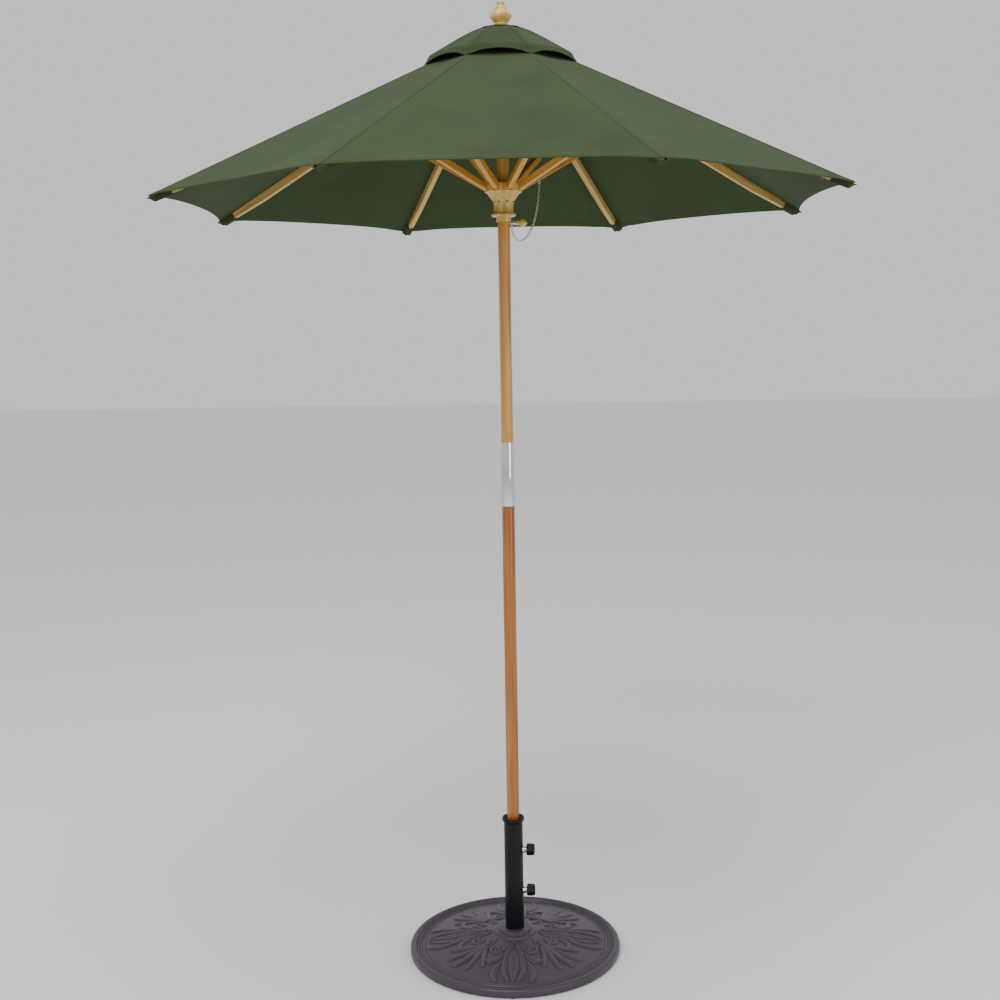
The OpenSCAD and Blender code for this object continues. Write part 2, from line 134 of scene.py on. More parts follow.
def varnishedWood(name, dark, mid, light, roughness, coat):
    # oiled hardwood under clear varnish: figure in bands of about 11 mm, fibres of about 0.7 mm, glossy coat
    material, tree, shader = newMaterial(name, Roughness=roughness, Coat_Weight=coat, Coat_Roughness=0.12)
    grain = addNode(tree, "ShaderNodeAttribute", attribute_name="grain").outputs["Vector"]
    slow = addNode(tree, "ShaderNodeMapping", {"Vector": grain, "Scale": (3, 90, 90)}).outputs["Vector"]
    fine = addNode(tree, "ShaderNodeMapping", {"Vector": grain, "Scale": (14, 1400, 1400)}).outputs["Vector"]
    figure = addNode(tree, "ShaderNodeTexNoise", {"Vector": slow, "Scale": 1.0, "Detail": 5.0, "Distortion": 0.5})
    fibre = addNode(tree, "ShaderNodeTexNoise", {"Vector": fine, "Scale": 1.0, "Detail": 3.0})
    both = addNode(tree, "ShaderNodeMix", {0: 0.34, 2: figure.outputs["Fac"], 3: fibre.outputs["Fac"]})
    dress(tree, shader, both.outputs[0], [(0.33, dark), (0.5, mid), (0.66, light)],
          fibre.outputs["Fac"], 0.15, 0.0002)
    return material


def canopyCloth(name, dark, light):
    # solution-dyed polyester: plain weave of about 0.5 mm threads, drawn at 1.4 mm so that it can show,
    # matt with a faint sheen, and slightly uneven where it has been handled
    material, tree, shader = newMaterial(name, Roughness=0.9, Sheen_Weight=0.03, Specular_IOR_Level=0.2)
    uv = addNode(tree, "ShaderNodeTexCoord").outputs["UV"]
    drawnPitch = 0.0014
    bandsPerScale = 0.314
    waves = {"Vector": uv, "Scale": bandsPerScale / drawnPitch, "Distortion": 0.0}
    warp = addNode(tree, "ShaderNodeTexWave", waves, bands_direction="X")
    weft = addNode(tree, "ShaderNodeTexWave", waves, bands_direction="Y")
    weave = addNode(tree, "ShaderNodeMath", {0: warp.outputs["Fac"], 1: weft.outputs["Fac"]},
                    operation="MULTIPLY")
    cloud = addNode(tree, "ShaderNodeTexNoise", {"Vector": uv, "Scale": 5.0, "Detail": 6.0})
    mixed = addNode(tree, "ShaderNodeMix", {0: 0.16, 2: cloud.outputs["Fac"], 3: weave.outputs["Value"]})
    dress(tree, shader, mixed.outputs[0], [(0.25, dark), (0.7, light)], weave.outputs["Value"], 0.25, 0.0003)
    return material


def sprayedCastResin():
    # cast resin and stone sprayed dark bronze: satin, a slightly grainy skin, with painted shade in the hollows and
    # painted highlight on the crests of the relief
    material, tree, shader = newMaterial("sprayedCastResin", Roughness=0.38, Specular_IOR_Level=0.4)
    place = addNode(tree, "ShaderNodeTexCoord").outputs["Object"]
    speckle = addNode(tree, "ShaderNodeTexNoise", {"Vector": place, "Scale": 900.0, "Detail": 2.0})
    cloud = addNode(tree, "ShaderNodeTexNoise", {"Vector": place, "Scale": 14.0, "Detail": 5.0})
    # this attribute holds painted shade in the relief hollows and painted highlight on its crests, mixed below with a
    # random cloud of tone
    paintedReliefShading = addNode(tree, "ShaderNodeAttribute", attribute_name="paintedReliefShading")
    shade = addNode(tree, "ShaderNodeMix", {0: 0.3, 2: paintedReliefShading.outputs["Fac"], 3: cloud.outputs["Fac"]})
    bronzes = [(0.03, "#100d12"), (0.24, "#2d2731"), (0.5, "#3e3542"), (0.95, "#4a3f4b")]
    dress(tree, shader, shade.outputs[0], bronzes, speckle.outputs["Fac"], 0.3, 0.0004)
    return material


def powderCoat():
    # polyester powder coat on steel: semi-gloss black with a fine orange peel of about 2 mm
    material, tree, shader = newMaterial("powderCoatedSteel", Roughness=0.4, Specular_IOR_Level=0.25)
    place = addNode(tree, "ShaderNodeTexCoord").outputs["Object"]
    peel = addNode(tree, "ShaderNodeTexNoise", {"Vector": place, "Scale": 480.0, "Detail": 2.0})
    dress(tree, shader, peel.outputs["Fac"], [(0.3, "#0a0a0d"), (0.7, "#121116")],
          peel.outputs["Fac"], 0.12, 0.0003)
    return material


def mouldedNylon():
    # injection-moulded black nylon with a fine spark-eroded texture of about 0.6 mm
    material, tree, shader = newMaterial("mouldedNylon", Roughness=0.5, Specular_IOR_Level=0.3)
    place = addNode(tree, "ShaderNodeTexCoord").outputs["Object"]
    spark = addNode(tree, "ShaderNodeTexNoise", {"Vector": place, "Scale": 1700.0, "Detail": 1.0})
    dress(tree, shader, spark.outputs["Fac"], [(0.3, "#08080a"), (0.7, "#101012")],
          spark.outputs["Fac"], 0.2, 0.0002)
    return material


def platedMetal(name, light, dark, roughness, scratch):
    # plated or polished metal: mirror-like, with hair scratches that run round the piece
    material, tree, shader = newMaterial(name, Metallic=1.0, Roughness=roughness)
    place = addNode(tree, "ShaderNodeTexCoord").outputs["Object"]
    along = addNode(tree, "ShaderNodeMapping", {"Vector": place, "Scale": (20, 20, 1400)}).outputs["Vector"]
    hair = addNode(tree, "ShaderNodeTexNoise", {"Vector": along, "Scale": 1.0, "Detail": 4.0})
    dress(tree, shader, hair.outputs["Fac"], [(0.3, dark), (0.65, light)], hair.outputs["Fac"], scratch, 0.0002)
    return material


def softRubber():
    # vulcanised rubber: near black, dull
    material, tree, shader = newMaterial("vulcanisedRubber", Roughness=0.8)
    place = addNode(tree, "ShaderNodeTexCoord").outputs["Object"]
    dust = addNode(tree, "ShaderNodeTexNoise", {"Vector": place, "Scale": 300.0, "Detail": 3.0})
    dress(tree, shader, dust.outputs["Fac"], [(0.3, "#141414"), (0.8, "#242424")])
    return material


polePaleWood = varnishedWood("varnishedEucalyptusPale", "#a5661f", "#cd8f3c", "#dda955", 0.36, 0.3)
poleRedWood = varnishedWood("varnishedEucalyptusRed", "#78400c", "#a2601c", "#b97a2e", 0.38, 0.25)
ribWood = varnishedWood("varnishedEucalyptusRib", "#9c7434", "#c8a354", "#dabd72", 0.48, 0.15)
strutWood = varnishedWood("varnishedEucalyptusStrut", "#9d6118", "#cb8f2c", "#dba94c", 0.44, 0.25)
turnedWood = varnishedWood("varnishedTurnedWood", "#a88335", "#cba84a", "#dfc06c", 0.34, 0.45)
cloth = canopyCloth("polyesterCanopyCloth", "#2b3a1e", "#374827")
capCloth = canopyCloth("polyesterVentCloth", "#29371d", "#344526")
thread = canopyCloth("polyesterThread", "#243018", "#303f22")
castResin = sprayedCastResin()
blackCoat = powderCoat()
nylon = mouldedNylon()
polished = platedMetal("polishedSteel", "#e6e6e4", "#c4c4c2", 0.09, 0.015)
nickel = platedMetal("nickelPlatedSteel", "#dcdde0", "#b4b6bb", 0.24, 0.05)
agedBrass = platedMetal("agedBrass", "#a8905c", "#75663f", 0.4, 0.08)
rubber = softRubber()
print("stage: materials")


# camera, light and floor

view = {"distance": 3.3732, "height": 1.6336, "turn": 1.813, "pitch": 7.0, "roll": 0.904,
        "focal": 1310.9, "shiftX": -0.0082}


def placeCamera():
    data = bpy.data.cameras.new("camera")
    data.sensor_width = 36
    data.lens = view["focal"] * 36 / 1000
    data.shift_x = view["shiftX"]
    camera = bpy.data.objects.new("camera", data)
    bpy.context.scene.collection.objects.link(camera)
    turn = math.radians(view["turn"])
    camera.matrix_world = (
        Matrix.Translation((view["distance"] * math.sin(turn), -view["distance"] * math.cos(turn), view["height"]))
        @ Matrix.Rotation(turn, 4, "Z")
        @ Matrix.Rotation(math.radians(90 - view["pitch"]), 4, "X")
        @ Matrix.Rotation(math.radians(-view["roll"]), 4, "Z")
    )
    bpy.context.scene.camera = camera


def areaLight(name, place, target, size, power, colour="#ffffff"):
    data = bpy.data.lights.new(name, "AREA")
    data.size = size
    data.energy = power
    data.color = srgb(colour)[:3]
    lamp = bpy.data.objects.new(name, data)
    bpy.context.scene.collection.objects.link(lamp)
    lamp.location = place
    lamp.rotation_euler = (Vector(target) - Vector(place)).to_track_quat("-Z", "Y").to_euler()


def studio():
    floorMesh = bpy.data.meshes.new("floor")
    reach = 30
    floorMesh.from_pydata([(-reach, -reach, 0), (reach, -reach, 0), (reach, reach, 0), (-reach, reach, 0)], [],
                          [(0, 1, 2, 3)])
    floor = bpy.data.objects.new("floor", floorMesh)
    bpy.context.scene.collection.objects.link(floor)
    # matt painted sweep
    material, tree, shader = newMaterial("paleStudioFloor", Roughness=0.9)
    shader.inputs["Base Color"].default_value = srgb("#eeeeee")
    floorMesh.materials.append(material)
    world = bpy.data.worlds.new("studio")
    bpy.context.scene.world = world
    world.use_nodes = True
    background = world.node_tree.nodes["Background"]
    background.inputs["Color"].default_value = srgb("#ffffff")
    background.inputs["Strength"].default_value = 0.8
    areaLight("key", (-1.2, -3.2, 4.8), (0, 0, 1.2), 2.2, 120)
    areaLight("fill", (3.0, -3.0, 1.6), (0, 0, 1.2), 1.8, 26)
    areaLight("top", (0.2, -0.6, 5.4), (0, 0, 2), 2.0, 60)


placeCamera()
studio()
print("stage: camera and light")


# shapes used by many pieces

halfAngle = math.radians(22.5)
slope = math.radians(26)
# the linkage's open pose, read off the joints of rib 1 and strut 1
hubPivot = Vector(joints["fold"]["pos_m"])
runnerPivot = Vector(joints["runner_swing"]["pos_m"])
elbowPivot = Vector(joints["strut_1_swing"]["pos_m"])
pivotRadius = math.hypot(hubPivot.x, hubPivot.y)
elbowRadius = math.hypot(elbowPivot.x, elbowPivot.y)
strutSlope = math.atan2(elbowPivot.z - runnerPivot.z, elbowRadius - pivotRadius)
grainUp = Matrix(((0, 1, 0, 0), (0, 0, 1, 0), (1, 0, 0, 0), (0, 0, 0, 1)))


def ribTurn(i):
    return Matrix.Rotation(halfAngle + (i - 1) * 2 * halfAngle, 4, "Z")


def ribPlace(i):
    # x runs out along the open rib, from its pivot
    return ribTurn(i) @ Matrix.Translation((pivotRadius, 0, hubPivot.z)) @ Matrix.Rotation(slope, 4, "Y")


def strutPlace(i):
    # x runs up along the open strut, from its runner pivot
    return ribTurn(i) @ Matrix.Translation((pivotRadius, 0, runnerPivot.z)) @ Matrix.Rotation(-strutSlope, 4, "Y")


def setGrain(mesh, place, seed):
    # each vertex keeps its place along and across the piece, so that the grain runs along it
    grain = mesh.attributes.new("grain", "FLOAT_VECTOR", "POINT")
    back = place.inverted()
    shift = Vector((seed * 1.37, seed * 0.53, seed * 0.71))
    flat = []
    for vertex in mesh.vertices:
        flat.extend(back @ vertex.co + shift)
    grain.data.foreach_set("vector", flat)


def eased(node, material, easing, place=grainUp, seed=0):
    # the CAD piece welded, with its crisp edges rounded off and the grain laid along it
    source = frame["nodes"][node]
    build = bmesh.new()
    build.from_mesh(source.data)
    bmesh.ops.remove_doubles(build, verts=build.verts, dist=2e-6)
    bmesh.ops.dissolve_limit(build, angle_limit=math.radians(0.8), verts=build.verts, edges=build.edges)
    crisp = math.radians(32)
    edges = [e for e in build.edges if len(e.link_faces) == 2 and e.calc_face_angle(0) > crisp]
    bmesh.ops.bevel(build, geom=edges, offset=easing, segments=2, profile=0.6, affect="EDGES", clamp_overlap=True)
    bmesh.ops.triangulate(build, faces=[f for f in build.faces if len(f.verts) > 4])
    mesh = bpy.data.meshes.new(node + "Eased")
    build.to_mesh(mesh)
    build.free()
    setGrain(mesh, place, seed)
    smoothByAngle(mesh, 28)
    addPiece(node + "Eased", mesh, source["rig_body"], material, [node])


def paint(node, material):
    # a CAD piece that is shown as it is, in its own finish
    data = frame["nodes"][node].data
    data.materials.clear()
    data.materials.append(material)


def gridMesh(name, rows):
    # rings of points joined into quads, each ring closed on itself
    mesh = bpy.data.meshes.new(name)
    count = len(rows[0])
    points = [p for row in rows for p in row]
    faces = []
    for r in range(len(rows) - 1):
        for c in range(count):
            n = (c + 1) % count
            faces.append((r * count + c, r * count + n, (r + 1) * count + n, (r + 1) * count + c))
    mesh.from_pydata(points, [], faces)
    return mesh


def sheetMesh(name, top, bottom, uvs):
    # a closed sheet from matching grids of top and bottom points
    rows = len(top)
    cols = len(top[0])
    size = rows * cols
    points = [p for row in top for p in row] + [p for row in bottom for p in row]
    marks = [m for row in uvs for m in row] * 2
    faces = []
    for r in range(rows - 1):
        for c in range(cols - 1):
            a, b, d, e = r * cols + c, r * cols + c + 1, (r + 1) * cols + c + 1, (r + 1) * cols + c
            faces.append((a, e, d, b))
            faces.append((b + size, d + size, e + size, a + size))
    edge = [(c, c + 1) for c in range(cols - 1)]
    edge += [(r * cols + cols - 1, (r + 1) * cols + cols - 1) for r in range(rows - 1)]
    edge += [((rows - 1) * cols + c, (rows - 1) * cols + c - 1) for c in range(cols - 1, 0, -1)]
    edge += [(r * cols, (r - 1) * cols) for r in range(rows - 1, 0, -1)]
    faces += [(a, b, b + size, a + size) for a, b in edge]
    mesh = bpy.data.meshes.new(name)
    mesh.from_pydata(points, [], faces)
    layer = mesh.uv_layers.new(name="UVMap")
    flat = []
    for loop in mesh.loops:
        flat.extend(marks[loop.vertex_index])
    layer.data.foreach_set("uv", flat)
    build = bmesh.new()
    build.from_mesh(mesh)
    bmesh.ops.recalc_face_normals(build, faces=build.faces)
    build.to_mesh(mesh)
    build.free()
    return smoothByAngle(mesh, 40)


def weld(mesh):
    build = bmesh.new()
    build.from_mesh(mesh)
    bmesh.ops.remove_doubles(build, verts=build.verts, dist=1e-6)
    bmesh.ops.recalc_face_normals(build, faces=build.faces)
    build.to_mesh(mesh)
    build.free()


def lathe(name, profile, turns):
    # profile is (radius, height) pairs from the bottom up
    rows = [[(r * math.cos(2 * math.pi * k / turns), r * math.sin(2 * math.pi * k / turns), z) for k in range(turns)]
            for r, z in profile]
    mesh = gridMesh(name, rows)
    weld(mesh)
    return mesh


def arcPoints(cx, cy, r, start, stop, steps):
    return [(cx + r * math.cos(math.radians(start + (stop - start) * k / steps)),
             cy + r * math.sin(math.radians(start + (stop - start) * k / steps))) for k in range(steps + 1)]


print("stage: shapes")


# canopy cloth

canopy = {"reach": 0.870, "ventReach": 0.124, "scallop": 0.026, "thick": 0.001, "lift": 0.01257,
          "sag": 0.005, "seamHalf": 0.006, "seamRise": 0.0008, "hem": 0.018, "hemRise": 0.0007}
vent = {"inner": 0.046, "outer": 0.201, "innerZ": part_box("vent_panel_1")[1].z, "arch": 0.015,
        "bulge": 0.007, "lift": 0.014}
apexZ = hubPivot.z + pivotRadius * math.tan(slope) + canopy["lift"] / math.cos(slope)
vent["outerZ"] = apexZ - vent["outer"] * math.tan(slope) + 0.0003 + canopy["thick"] / math.cos(slope)
seamColumns = [0.0, 0.003, 0.0054, 0.0062, 0.0075, 0.012, 0.022]
tapeColumns = 3


def smooth(low, high, value):
    t = min(max((value - low) / (high - low), 0), 1)
    return t * t * (3 - 2 * t)


def chordPoint(reach, g):
    return (reach * (1 - abs(g) * math.sin(halfAngle) ** 2), g * reach * math.cos(halfAngle) * math.sin(halfAngle))


def rimPoint(g):
    x, y = chordPoint(canopy["reach"], g)
    inward = canopy["scallop"] * (1 - (1 - abs(g)) ** 2)
    return (x - inward * math.cos(halfAngle), y - math.copysign(inward * math.sin(halfAngle), g) if g else y)


def roofHeight(x, y):
    return apexZ - (x * math.cos(halfAngle) + abs(y) * math.sin(halfAngle)) * math.tan(slope) / math.cos(halfAngle)


def columnShares(halfWidth, steps):
    # even columns, with closer ones beside the seam on the rib
    near = [y / halfWidth for y in seamColumns]
    far = [near[-1] + (1 - near[-1]) * k / steps for k in range(1, steps + 1)]
    right = near + far
    return [-g for g in reversed(right[1:])] + right


def panelMark(i, x, y):
    # place in metres on the panel between two ribs, so that the weave runs on across mid panel
    side = 1 if y >= 0 else -1
    panel = i if side > 0 else i - 1 if i > 1 else ribCount
    along = x * math.cos(halfAngle) + side * y * math.sin(halfAngle)
    across = y * math.cos(halfAngle) - side * x * math.sin(halfAngle)
    return (along + panel * 2.3, across + panel * 1.7)


def canopySector(i, steps=15, rows=54):
    turn = ribTurn(i)
    edgeRows = [0, 0.0012, 0.006, 0.011, 0.0122, 0.014]
    rimRows = [0.022, 0.0192, 0.0176, 0.009, 0.0014, 0]
    run = (canopy["reach"] - canopy["ventReach"]) * math.cos(halfAngle)
    shares = [e / run for e in edgeRows]
    shares += [shares[-1] + (1 - rimRows[0] / run - shares[-1]) * k / rows for k in range(1, rows)]
    shares += [1 - e / run for e in rimRows]
    top, bottom, marks, tape = [], [], [], []
    for v in shares:
        reach = canopy["ventReach"] + (canopy["reach"] - canopy["ventReach"]) * v
        columns = columnShares(reach * math.cos(halfAngle) * math.sin(halfAngle), steps)
        topRow, bottomRow, markRow, tapeRow = [], [], [], []
        for g in columns:
            x0, y0 = chordPoint(canopy["ventReach"], g)
            x1, y1 = rimPoint(g)
            x, y = x0 + (x1 - x0) * v, y0 + (y1 - y0) * v
            z = roofHeight(x, y)
            z -= canopy["sag"] * (0.5 + 0.5 * v) * math.sin(math.pi * abs(g) / 2) ** 2
            fromTip = math.hypot(canopy["reach"] - x, y)
            bearing = math.atan2(abs(y), canopy["reach"] - x + 0.02)
            window = (1 - abs(g)) ** 2 * smooth(0.01, 0.04, abs(y))
            z += 0.0016 * math.exp(-fromTip / 0.16) * window * (1 + math.sin(bearing * 15 + i * 1.9))
            seam = 1 - smooth(canopy["seamHalf"] - 0.0007, canopy["seamHalf"] + 0.0004, abs(y))
            fromEdge = min((1 - v) * run, v * run * 1.5)
            hem = 1 - smooth(canopy["hem"] - 0.0008, canopy["hem"] + 0.0008, fromEdge)
            rise = canopy["hemRise"] * hem
            lower = canopy["thick"] / math.cos(slope)
            underHem = 0.0004 * hem * smooth(0.009, 0.013, abs(y))
            topRow.append(turn @ Vector((x, y, z + rise)))
            bottomRow.append(turn @ Vector((x, y, z - lower - underHem)))
            markRow.append(panelMark(i, x, y))
            tapeRow.append(turn @ Vector((x, y, z + rise + canopy["seamRise"] * seam)))
        top.append(topRow)
        bottom.append(bottomRow)
        marks.append(markRow)
        tape.append(tapeRow)
    return top, bottom, marks, tape


def ventSector(i, steps=9, rows=26):
    turn = ribTurn(i)
    top, bottom, marks, tape = [], [], [], []
    run = vent["outer"] - vent["inner"]
    shares = [k / rows * (1 - 0.024 / run) for k in range(rows + 1)]
    shares += [1 - e / run for e in (0.020, 0.016, 0.0135, 0.0122, 0.009, 0.006, 0.003, 0.001, 0)]
    for f in shares:
        reach = vent["inner"] + run * f
        topRow, bottomRow, markRow, tapeRow = [], [], [], []
        for g in columnShares(reach * math.cos(halfAngle) * math.sin(halfAngle), steps):
            x, y = chordPoint(reach, g)
            z = vent["innerZ"] + (vent["outerZ"] - vent["innerZ"]) * f
            crest = vent["lift"] * f ** 0.8 * (1 - smooth(0.9, 0.995, f)) * (1 - 0.55 * abs(g))
            z += vent["arch"] * f * f * (1 - (1 - abs(g)) ** 2) * (0.72 + 0.28 * smooth(0.0, 0.45, abs(g)))
            z += crest + vent["bulge"] * math.sin(math.pi * f ** 0.5)
            wave = 0.0022 * f ** 3 * math.sin(abs(g) * 7 + i * 2.3) * (1 - abs(g)) ** 2 * smooth(0.008, 0.02, abs(y))
            seam = 1 - smooth(0.0053, 0.0064, abs(y))
            hem = 1 - smooth(0.0115, 0.013, run * (1 - f))
            topRow.append(turn @ Vector((x, y, z + abs(wave) + 0.0006 * hem)))
            bottomRow.append(turn @ Vector((x, y, z + abs(wave) - canopy["thick"])))
            markRow.append(panelMark(i, x, y))
            tapeRow.append(turn @ Vector((x, y, z + abs(wave) + 0.0006 * hem + 0.0008 * seam)))
        top.append(topRow)
        bottom.append(bottomRow)
        marks.append(markRow)
        tape.append(tapeRow)
    return top, bottom, marks, tape


def topArea(top):
    total = 0
    for low, high in zip(top, top[1:]):
        for a, b, c, d in zip(low, low[1:], high[1:], high):
            total += ((b - a).cross(c - a).length + (c - a).cross(d - a).length) / 2
    return total


# stitches, one small bar for each

def stitchNodes():
    tree = bpy.data.node_groups.new("stitchRow", "GeometryNodeTree")
    tree.interface.new_socket("Geometry", in_out="INPUT", socket_type="NodeSocketGeometry")
    for label, kind in (("Stitch Length", "NodeSocketFloat"), ("Stitch Pitch", "NodeSocketFloat"),
                        ("Thread Radius", "NodeSocketFloat"), ("Thread", "NodeSocketMaterial")):
        tree.interface.new_socket(label, in_out="INPUT", socket_type=kind)
    tree.interface.new_socket("Geometry", in_out="OUTPUT", socket_type="NodeSocketGeometry")
    given = addNode(tree, "NodeGroupInput").outputs
    curve = addNode(tree, "GeometryNodeMeshToCurve", {"Mesh": given["Geometry"]})
    spots = addNode(tree, "GeometryNodeCurveToPoints", {"Curve": curve.outputs[0], "Length": given["Stitch Pitch"]},
                    mode="LENGTH")
    bar = addNode(tree, "GeometryNodeMeshIcoSphere", {"Radius": 1.0, "Subdivisions": 1})
    half = addNode(tree, "ShaderNodeMath", {0: given["Stitch Length"], 1: 0.5}, operation="MULTIPLY")
    size = addNode(tree, "ShaderNodeCombineXYZ", {"X": given["Thread Radius"], "Y": given["Thread Radius"],
                                                  "Z": half.outputs[0]})
    placed = addNode(tree, "GeometryNodeInstanceOnPoints",
                     {"Points": spots.outputs["Points"], "Instance": bar.outputs["Mesh"],
                      "Rotation": spots.outputs["Rotation"], "Scale": size.outputs[0]})
    real = addNode(tree, "GeometryNodeRealizeInstances", {"Geometry": placed.outputs[0]})
    painted = addNode(tree, "GeometryNodeSetMaterial", {"Geometry": real.outputs[0], "Material": given["Thread"]})
    addNode(tree, "NodeGroupOutput", {"Geometry": painted.outputs[0]})
    return tree


stitchTree = stitchNodes()


def stitchPiece(name, paths):
    mesh = bpy.data.meshes.new(name + "Path")
    points, edges = [], []
    for path in paths:
        start = len(points)
        points += [tuple(p) for p in path]
        edges += [(start + k, start + k + 1) for k in range(len(path) - 1)]
    mesh.from_pydata(points, edges, [])
    guide = bpy.data.objects.new(name + "Path", mesh)
    bpy.context.scene.collection.objects.link(guide)
    modifier = guide.modifiers.new("stitches", "NODES")
    modifier.node_group = stitchTree
    values = {"Stitch Length": 0.003, "Stitch Pitch": 0.0042, "Thread Radius": 0.00032, "Thread": thread}
    for item in stitchTree.interface.items_tree:
        if item.item_type == "SOCKET" and item.in_out == "INPUT" and item.name in values:
            modifier[item.identifier] = values[item.name]
    graph = bpy.context.evaluated_depsgraph_get()
    made = bpy.data.meshes.new_from_object(guide.evaluated_get(graph))
    guide.modifiers.clear()
    bpy.data.objects.remove(guide)
    made.name = name
    made.shade_smooth()
    return made


def flatten(obj):
    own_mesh(obj)


def seamTape(name, tape, marks, body, material):
    # the raised seam on the rib, which keeps its width when the cloth beside it folds
    mid = len(tape[0]) // 2
    across = slice(mid - tapeColumns, mid + tapeColumns + 1)
    strip = [row[across] for row in tape]
    under = [[p - Vector((0, 0, 0.0013)) for p in row] for row in strip]
    stripMarks = [row[across] for row in marks]
    addPiece(name, sheetMesh(name, strip, under, stripMarks), body, material)
    lanes = [[row[k] for row in strip[1:-1]] for k in (1, 5)]
    addPiece(name + "Stitches", stitchPiece(name + "Stitches", lanes), body, thread)


def clothPiece(name, grids, i, material, replaced, size, hemRows):
    # one sector of cloth with its seam tape and its hem stitches
    top, bottom, marks, tape = grids
    body = f"rib_{i}"
    panel = addPiece(name, sheetMesh(name, top, bottom, marks), body, material, [replaced])
    seamTape(name + "Seam", tape, marks, body, material)
    mid = len(top[0]) // 2
    lanes = []
    for rowIndex in hemRows:
        lanes += [top[rowIndex][:mid - tapeColumns], top[rowIndex][mid + tapeColumns + 1:]]
    stitches = addPiece(name + "Stitches", stitchPiece(name + "Stitches", lanes), body, thread)
    area = topArea(top)
    for piece in (panel, stitches):
        flatten(piece)
    return [round(v, 4) for v in (*size, area)]


def makeCanopy(i):
    chord = 2 * math.cos(halfAngle) * math.sin(halfAngle)
    size = (canopy["reach"] * chord, (canopy["reach"] - canopy["ventReach"]) / math.cos(slope))
    capSize = (vent["outer"] * chord, math.hypot(vent["outer"] - vent["inner"], vent["innerZ"] - vent["outerZ"]))
    return (clothPiece(f"canopyCloth{i}", canopySector(i), i, cloth, f"canopy_panel_{i}", size, (3, -3)),
            clothPiece(f"ventCloth{i}", ventSector(i), i, capCloth, f"vent_panel_{i}", capSize, (-3,)))


pocket = {"inset": 0.014, "behind": 0.042, "length": 0.0555, "halfWidth": 0.0155, "flangeZ": 0.0110,
          "depth": 0.0142, "ribTaper": 0.0467, "slack": 0.0006, "thick": 0.0008, "rows": 18, "columns": 14}


def ribPocket(i):
    # a cloth sleeve sewn under the canopy, close round the rib's outer end
    place = ribPlace(i)
    ribEnd = (canopy["reach"] - pocket["inset"] - pivotRadius) / math.cos(slope)
    mouth = ribEnd - pocket["behind"]
    top, bottom, marks = [], [], []
    for a in range(pocket["rows"] + 1):
        x = mouth + pocket["length"] * a / pocket["rows"]
        pastEnd = x - ribEnd
        closing = 1 - 0.94 * smooth(-0.001, 0.0125, pastEnd)
        lip = 0.96 + 0.04 * smooth(0, 0.004, x - mouth)
        deep = (pocket["depth"] + pocket["ribTaper"] * max(-pastEnd, 0)) * closing * lip
        topRow, bottomRow, markRow = [], [], []
        for b in range(2 * pocket["columns"] + 1):
            y = pocket["halfWidth"] * (b / pocket["columns"] - 1) * (1 - 0.3 * smooth(0, 0.0135, pastEnd))
            side = 1 - smooth(0.0078, 0.0104, abs(y))
            flange = pocket["flangeZ"] - abs(y) * math.tan(halfAngle) * math.sin(slope)
            under = flange - (deep + pocket["slack"]) * side
            topRow.append(place @ Vector((x, y, under)))
            bottomRow.append(place @ Vector((x, y * 1.03, under - pocket["thick"])))
            markRow.append((x, y))
        top.append(topRow)
        bottom.append(bottomRow)
        marks.append(markRow)
    name = f"ribPocket{i}"
    addPiece(name, sheetMesh(name, top, bottom, marks), f"rib_{i}", cloth)


flatSizes = [makeCanopy(i) for i in range(1, ribCount + 1)]
for i in range(1, ribCount + 1):
    ribPocket(i)
print("stage: canopy", flatSizes[0])


# wooden frame and its metalwork

for i in range(1, ribCount + 1):
    eased(f"rib_{i}", ribWood, 0.0014, ribPlace(i), i)
    eased(f"strut_{i}", strutWood, 0.0014, strutPlace(i), i + 20)
    eased(f"rib_bracket_{i}", agedBrass, 0.0003, ribPlace(i), 0)
eased("top_hub", turnedWood, 0.0008, grainUp, 31)
eased("runner", turnedWood, 0.0008, grainUp, 32)
eased("lower_pole", poleRedWood, 0.0012, grainUp, 34)
eased("upper_pole", polePaleWood, 0.0012, grainUp, 35)
eased("lock_pin_knob", turnedWood, 0.0005, Matrix.Identity(4), 36)
eased("ferrule", polished, 0.0005)
eased("tube_nuts", nickel, 0.0008)
eased("lock_pin", nickel, 0.0005)
eased("base_bolt", nickel, 0.0006)
eased("hub_fasteners", agedBrass, 0.0003)
eased("runner_fasteners", agedBrass, 0.0003)
eased("crown_patch", capCloth, 0.0005)
eased("base_tube", blackCoat, 0.0005)
eased("tube_collar", blackCoat, 0.0009)
eased("base_feet", rubber, 0.0006)
paint("pin_chain", nickel)


def finialPiece():
    # turned from one blank, with its stud below the shoulder
    finialHeight = 0.062
    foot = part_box("finial")[1].z - finialHeight
    profile = [(0.0, -0.0432), (0.0046, -0.0432), (0.005, -0.0425), (0.005, 0.0), (0.0178, 0.0), (0.0186, 0.0006),
               (0.019, 0.002), (0.0186, 0.0034), (0.0172, 0.0042), (0.0162, 0.0052), (0.0164, 0.0066),
               (0.0174, 0.0078), (0.017, 0.0092), (0.0166, 0.0104), (0.0186, 0.0134), (0.0218, 0.0172),
               (0.0248, 0.0213), (0.0267, 0.0252), (0.0273, 0.0285), (0.0268, 0.032), (0.0246, 0.0362),
               (0.021, 0.0396), (0.0172, 0.0422), (0.0146, 0.044), (0.0142, 0.0452), (0.0149, 0.0464),
               (0.0144, 0.0478), (0.0122, 0.0492), (0.0104, 0.0515), (0.0096, 0.0545), (0.0098, 0.0575),
               (0.0106, 0.06), (0.0106, 0.0612), (0.0098, 0.062), (0.0, 0.062)]
    mesh = lathe("finialTurned", [(r, z + foot) for r, z in profile], 96)
    setGrain(mesh, grainUp, 33)
    addPiece("finialTurned", smoothByAngle(mesh, 50), "finial", turnedWood, ["finial"])


finialPiece()
print("stage: frame")


# hand knobs

knob = {"depth": 0.023, "radius": 0.016, "lobes": 6, "waist": 0.91, "lobe": 0.09, "cap": 0.84,
        "columns": 96}


